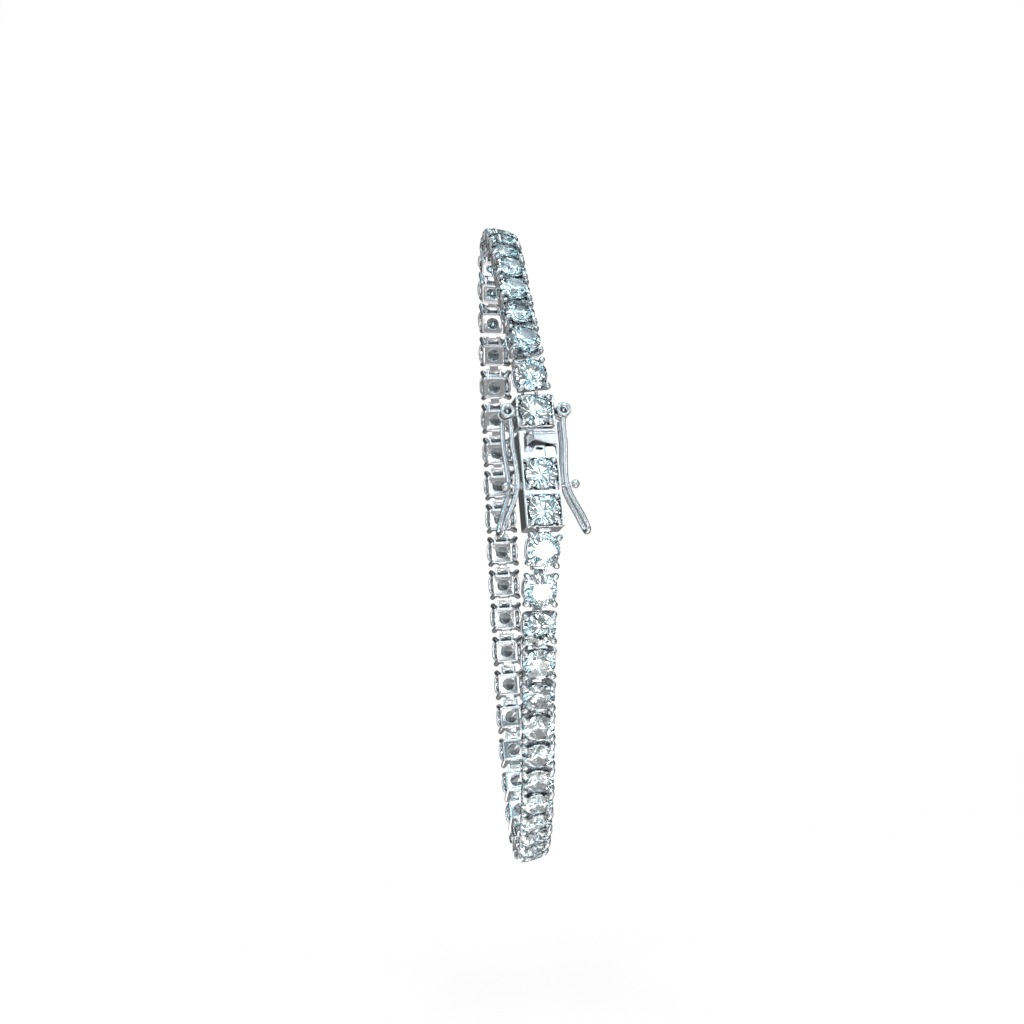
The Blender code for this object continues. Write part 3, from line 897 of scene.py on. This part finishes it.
clasp = frame_between(hinges[-1], hinges[0])
piece(
    "clasp_tongue_end_metal",
    finish_mesh(cast(tongue_end(), 0.045, 0.22), "clasp_tongue_end", polished),
    clasp,
    "bracelet",
    "polished_white_metal",
    "clasp_tongue_end",
)
piece(
    "clasp_box_metal",
    finish_mesh(cast(clasp_box(), 0.045, 0.22), "clasp_box", polished),
    clasp,
    "bracelet",
    "polished_white_metal",
    "clasp_box",
)
for k, (node_name, s) in enumerate(
    zip(("clasp_stone_tongue", "clasp_stone_box_upper", "clasp_stone_box_lower"), (TONGUE_STONE_S, *BOX_STONES_S))
):
    turn = Matrix.Rotation(math.radians(11 * k), 4, "Z")
    piece(
        node_name + "_cut",
        clasp_stone_mesh,
        clasp @ Matrix.Translation((0, y_of(s) * MM, 0)) @ turn,
        "bracelet",
        "clear_stone",
        node_name,
    )
piece(
    "thumb_press_metal",
    finish_mesh(cast(thumb_press(), 0.035, 0.25), "thumb_press", sprung),
    clasp @ Matrix.Translation((0, y_of(PRESS_AXIS_S) * MM, PRESS_AXIS_Z * MM)),
    "thumb_press",
    "sprung_white_metal",
    "thumb_press",
)
for name, side in (("safety_lever_left", -1), ("safety_lever_right", 1)):
    piece(
        name + "_wire",
        finish_mesh(cast(safety_lever(side), 0.035, 0.25), name, sprung),
        clasp @ Matrix.Translation((side * HINGE_X * MM, y_of(HINGE_S) * MM, PEG_Z * MM)),
        name,
        "sprung_white_metal",
        name,
    )

# ---------------------------------------------------------------- floor, light and camera
points, faces = [], []
profile = [(-0.9, 0.0), (0.25, 0.0)]
profile += [(0.25 + 0.25 * math.sin(a), 0.25 - 0.25 * math.cos(a)) for a in np.linspace(0.1, math.pi / 2, 14)]
profile += [(0.50, 1.2)]
for depth, height in profile:
    points += [(-1.4, depth, FLOOR_Z + height), (1.4, depth, FLOOR_Z + height)]
for k in range(len(profile) - 1):
    faces.append((2 * k, 2 * k + 1, 2 * k + 3, 2 * k + 2))
floor_mesh = bpy.data.meshes.new("floor")
floor_mesh.from_pydata(points, [], faces)
floor_mesh.shade_smooth()
floor_mesh.materials.append(pale_floor("pale_floor"))
floor = bpy.data.objects.new("floor", floor_mesh)
bpy.context.scene.collection.objects.link(floor)


def aimed(azimuth, elevation, distance):
    """A place round the middle: azimuth from the front towards +X, elevation above the level."""
    a, e = math.radians(azimuth), math.radians(elevation)
    return Vector((math.cos(e) * math.sin(a), -math.cos(e) * math.cos(a), math.sin(e))) * distance


def light(name, azimuth, elevation, distance, size, radiance, colour=(1.0, 1.0, 1.0), target=(0, 0, 0), soft=False):
    data = bpy.data.lights.new(name, "AREA")
    data.shape, data.size, data.size_y = "RECTANGLE", size[0], size[1]
    data.energy, data.color = 4 * radiance * size[0] * size[1], colour
    obj = bpy.data.objects.new(name, data)
    bpy.context.scene.collection.objects.link(obj)
    place, target = aimed(azimuth, elevation, distance), Vector(target)
    obj.matrix_world = Matrix.Translation(place) @ (target - place).to_track_quat("-Z", "Y").to_matrix().to_4x4()
    obj.visible_camera = False
    if soft:
        obj.visible_glossy = obj.visible_transmission = False
    else:
        obj.visible_diffuse = False
    return obj


CYAN, AZURE, PALE = (0.72, 0.94, 1.0), (0.72, 0.89, 1.0), (0.90, 0.97, 1.0)
light("sky", 0, 64, 0.50, (0.38, 0.15), 1.9, CYAN)
light("top_right", 76, 62, 0.48, (0.18, 0.13), 1.4, AZURE)
light("high_back", 128, 60, 0.46, (0.20, 0.08), 1.5, AZURE)
light("far_back", 160, 38, 0.45, (0.18, 0.09), 1.3, AZURE)
light("window", -40, 14, 0.45, (0.18, 0.28), 1.1, PALE)
light("key", 24, 29, 0.45, (0.15, 0.13), 0.92, PALE)
light("front_card", -6, 1, 0.45, (0.15, 0.20), 0.85)
light("brow", -16, 42, 0.45, (0.13, 0.05), 1.3, PALE)
light("side", 60, 6, 0.44, (0.16, 0.26), 1.15)
light("flash", 14.3, -2.0, 0.44, (0.07, 0.10), 6.5)
light("low_flash", 9.7, -21.9, 0.0831, (0.012, 0.009), 6.5, target=(0, -0.022, -0.008))
light("left_card", -88, 4, 0.45, (0.12, 0.36), 0.9)
light("back_left", -173, 4, 0.42, (0.08, 0.30), 0.50)
light("low_card", 0, -52, 0.066, (0.12, 0.035), 1.1)
light("under_card", -60, -82, 0.050, (0.10, 0.030), 0.9)
SPARKS = (
    # azimuth, elevation, size, radiance: small bright panes that the facets break up
    (-14, 48, 0.030, 8.0),
    (40, -28, 0.030, 6.0),
    (-30, -18, 0.026, 5.0),
    (6, 80, 0.030, 7.0),
    (-52, 42, 0.026, 7.0),
    (50, 40, 0.028, 7.0),
    (-8, 9, 0.020, 6.0),
    (38, 6, 0.020, 6.0),
    (-22, -44, 0.026, 6.0),
    (20, -58, 0.026, 6.0),
    (84, -22, 0.030, 6.0),
    (-66, -12, 0.026, 6.0),
    (0, 110, 0.030, 7.0),
    (-70, 62, 0.030, 6.0),
    (98, 40, 0.030, 6.0),
    (-22, 30, 0.018, 6.0),
    (4, 36, 0.016, 7.0),
    (44, 22, 0.016, 6.0),
    (-18, -4, 0.018, 6.0),
    (0, -34, 0.018, 6.0),
    (60, -42, 0.024, 6.0),
    (-54, -38, 0.024, 6.0),
    (34, 52, 0.018, 7.0),
    (-40, 72, 0.024, 7.0),
    (62, 28, 0.018, 6.0),
    (110, 14, 0.026, 5.0),
    (-112, 24, 0.026, 5.0),
)
for k, (azimuth, elevation, size, radiance) in enumerate(SPARKS):
    light(f"spark_{k}", azimuth, elevation, 0.40, (size, size), radiance, CYAN if elevation > 30 else (1, 1, 1))
light("wash_top", 0, 88, 1.10, (1.5, 1.2), 0.95, soft=True)
light("wash_front", 0, 28, 1.20, (1.6, 0.7), 0.60, target=(0, 0.45, 0.1), soft=True)

world = bpy.data.worlds.new("studio")
bpy.context.scene.world = world
world.use_nodes = True
tree = world.node_tree
background = tree.nodes["Background"]
coordinates = tree.nodes.new("ShaderNodeTexCoord")
split = tree.nodes.new("ShaderNodeSeparateXYZ")
tree.links.new(coordinates.outputs["Generated"], split.inputs["Vector"])
span = tree.nodes.new("ShaderNodeMapRange")
span.inputs["From Min"].default_value = -1.0
span.inputs["From Max"].default_value = 1.0
tree.links.new(split.outputs["Z"], span.inputs["Value"])
sky = tree.nodes.new("ShaderNodeValToRGB")
stops = [
    (0.0, (0.12, 0.12, 0.12)),
    (0.45, (0.07, 0.075, 0.08)),
    (0.53, (0.12, 0.14, 0.15)),
    (0.70, (0.22, 0.29, 0.32)),
    (1.0, (0.38, 0.53, 0.60)),
]
while len(sky.color_ramp.elements) < len(stops):
    sky.color_ramp.elements.new(0.5)
for element, (position, colour) in zip(sky.color_ramp.elements, stops):
    element.position, element.color = position, (*colour, 1.0)
tree.links.new(span.outputs["Result"], sky.inputs["Fac"])
# the facets gather the whole room: pale walls and windows, broken up by dim shapes
room = tree.nodes.new("ShaderNodeTexNoise")
room.inputs["Scale"].default_value = 6.5
room.inputs["Detail"].default_value = 3.0
tree.links.new(coordinates.outputs["Generated"], room.inputs["Vector"])
shapes = tree.nodes.new("ShaderNodeValToRGB")
height = tree.nodes.new("ShaderNodeValToRGB")
for made, stops in (
    (shapes, [(0.470, (0.01, 0.05, 0.07)), (0.498, (0.20, 0.35, 0.40)), (0.535, (0.80, 0.90, 0.92)), (0.62, (1.0, 1.0, 1.0))]),
    (height, [(0.10, (0.96, 0.99, 1.0)), (0.42, (0.88, 0.98, 1.0)), (0.65, (0.66, 0.93, 1.0)), (1.0, (0.52, 0.84, 1.0))]),
):
    while len(made.color_ramp.elements) < len(stops):
        made.color_ramp.elements.new(0.5)
    for element, (position, colour) in zip(made.color_ramp.elements, stops):
        element.position, element.color = position, (*colour, 1.0)
tree.links.new(room.outputs["Fac"], shapes.inputs["Fac"])
tree.links.new(span.outputs["Result"], height.inputs["Fac"])
gathered = tree.nodes.new("ShaderNodeMix")
gathered.data_type, gathered.blend_type = "RGBA", "MULTIPLY"
gathered.inputs["Factor"].default_value = 1.0
tree.links.new(shapes.outputs["Color"], gathered.inputs[6])
tree.links.new(height.outputs["Color"], gathered.inputs[7])
brighter = tree.nodes.new("ShaderNodeVectorMath")
brighter.operation = "SCALE"
brighter.inputs["Scale"].default_value = 1.25
tree.links.new(gathered.outputs[2], brighter.inputs[0])
# the paper gets a neutral light from it
seen = tree.nodes.new("ShaderNodeLightPath")
even = tree.nodes.new("ShaderNodeMix")
even.data_type = "RGBA"
tree.links.new(seen.outputs["Is Diffuse Ray"], even.inputs["Factor"])
inner = tree.nodes.new("ShaderNodeMix")
inner.data_type = "RGBA"
tree.links.new(seen.outputs["Is Transmission Ray"], inner.inputs["Factor"])
tree.links.new(sky.outputs["Color"], inner.inputs[6])
tree.links.new(brighter.outputs["Vector"], inner.inputs[7])
tree.links.new(inner.outputs[2], even.inputs[6])
even.inputs[7].default_value = (0.20, 0.20, 0.20, 1.0)
# the camera sees the studio's pale walls, the polished metal its dim side
choose = tree.nodes.new("ShaderNodeMix")
choose.data_type = "RGBA"
tree.links.new(seen.outputs["Is Camera Ray"], choose.inputs["Factor"])
tree.links.new(even.outputs[2], choose.inputs[6])
choose.inputs[7].default_value = (1.0, 1.0, 1.0, 1.0)
tree.links.new(choose.outputs[2], background.inputs["Color"])
background.inputs["Strength"].default_value = 1.0
bpy.context.scene.view_settings.view_transform = "Standard"

AIM = Vector((-2.53, -21.65, 3.67)) * MM
YAW, ROLL, DISTANCE = math.radians(5.67), math.radians(-2.99), 0.260
towards = Vector((math.sin(YAW), math.cos(YAW), 0.0))
right = Vector((math.cos(YAW), -math.sin(YAW), 0.0))
camera_data = bpy.data.cameras.new("camera")
camera_data.sensor_width = 36.0
camera_data.lens = 86.94
camera_data.clip_start = 0.005
camera = bpy.data.objects.new("camera", camera_data)
bpy.context.scene.collection.objects.link(camera)
basis = Matrix((right, Vector((0, 0, 1)), -towards)).transposed().to_4x4()
camera.matrix_world = Matrix.Translation(AIM - towards * DISTANCE) @ basis @ Matrix.Rotation(ROLL, 4, "Z")
bpy.context.scene.camera = camera

bpy.context.view_layer.update()
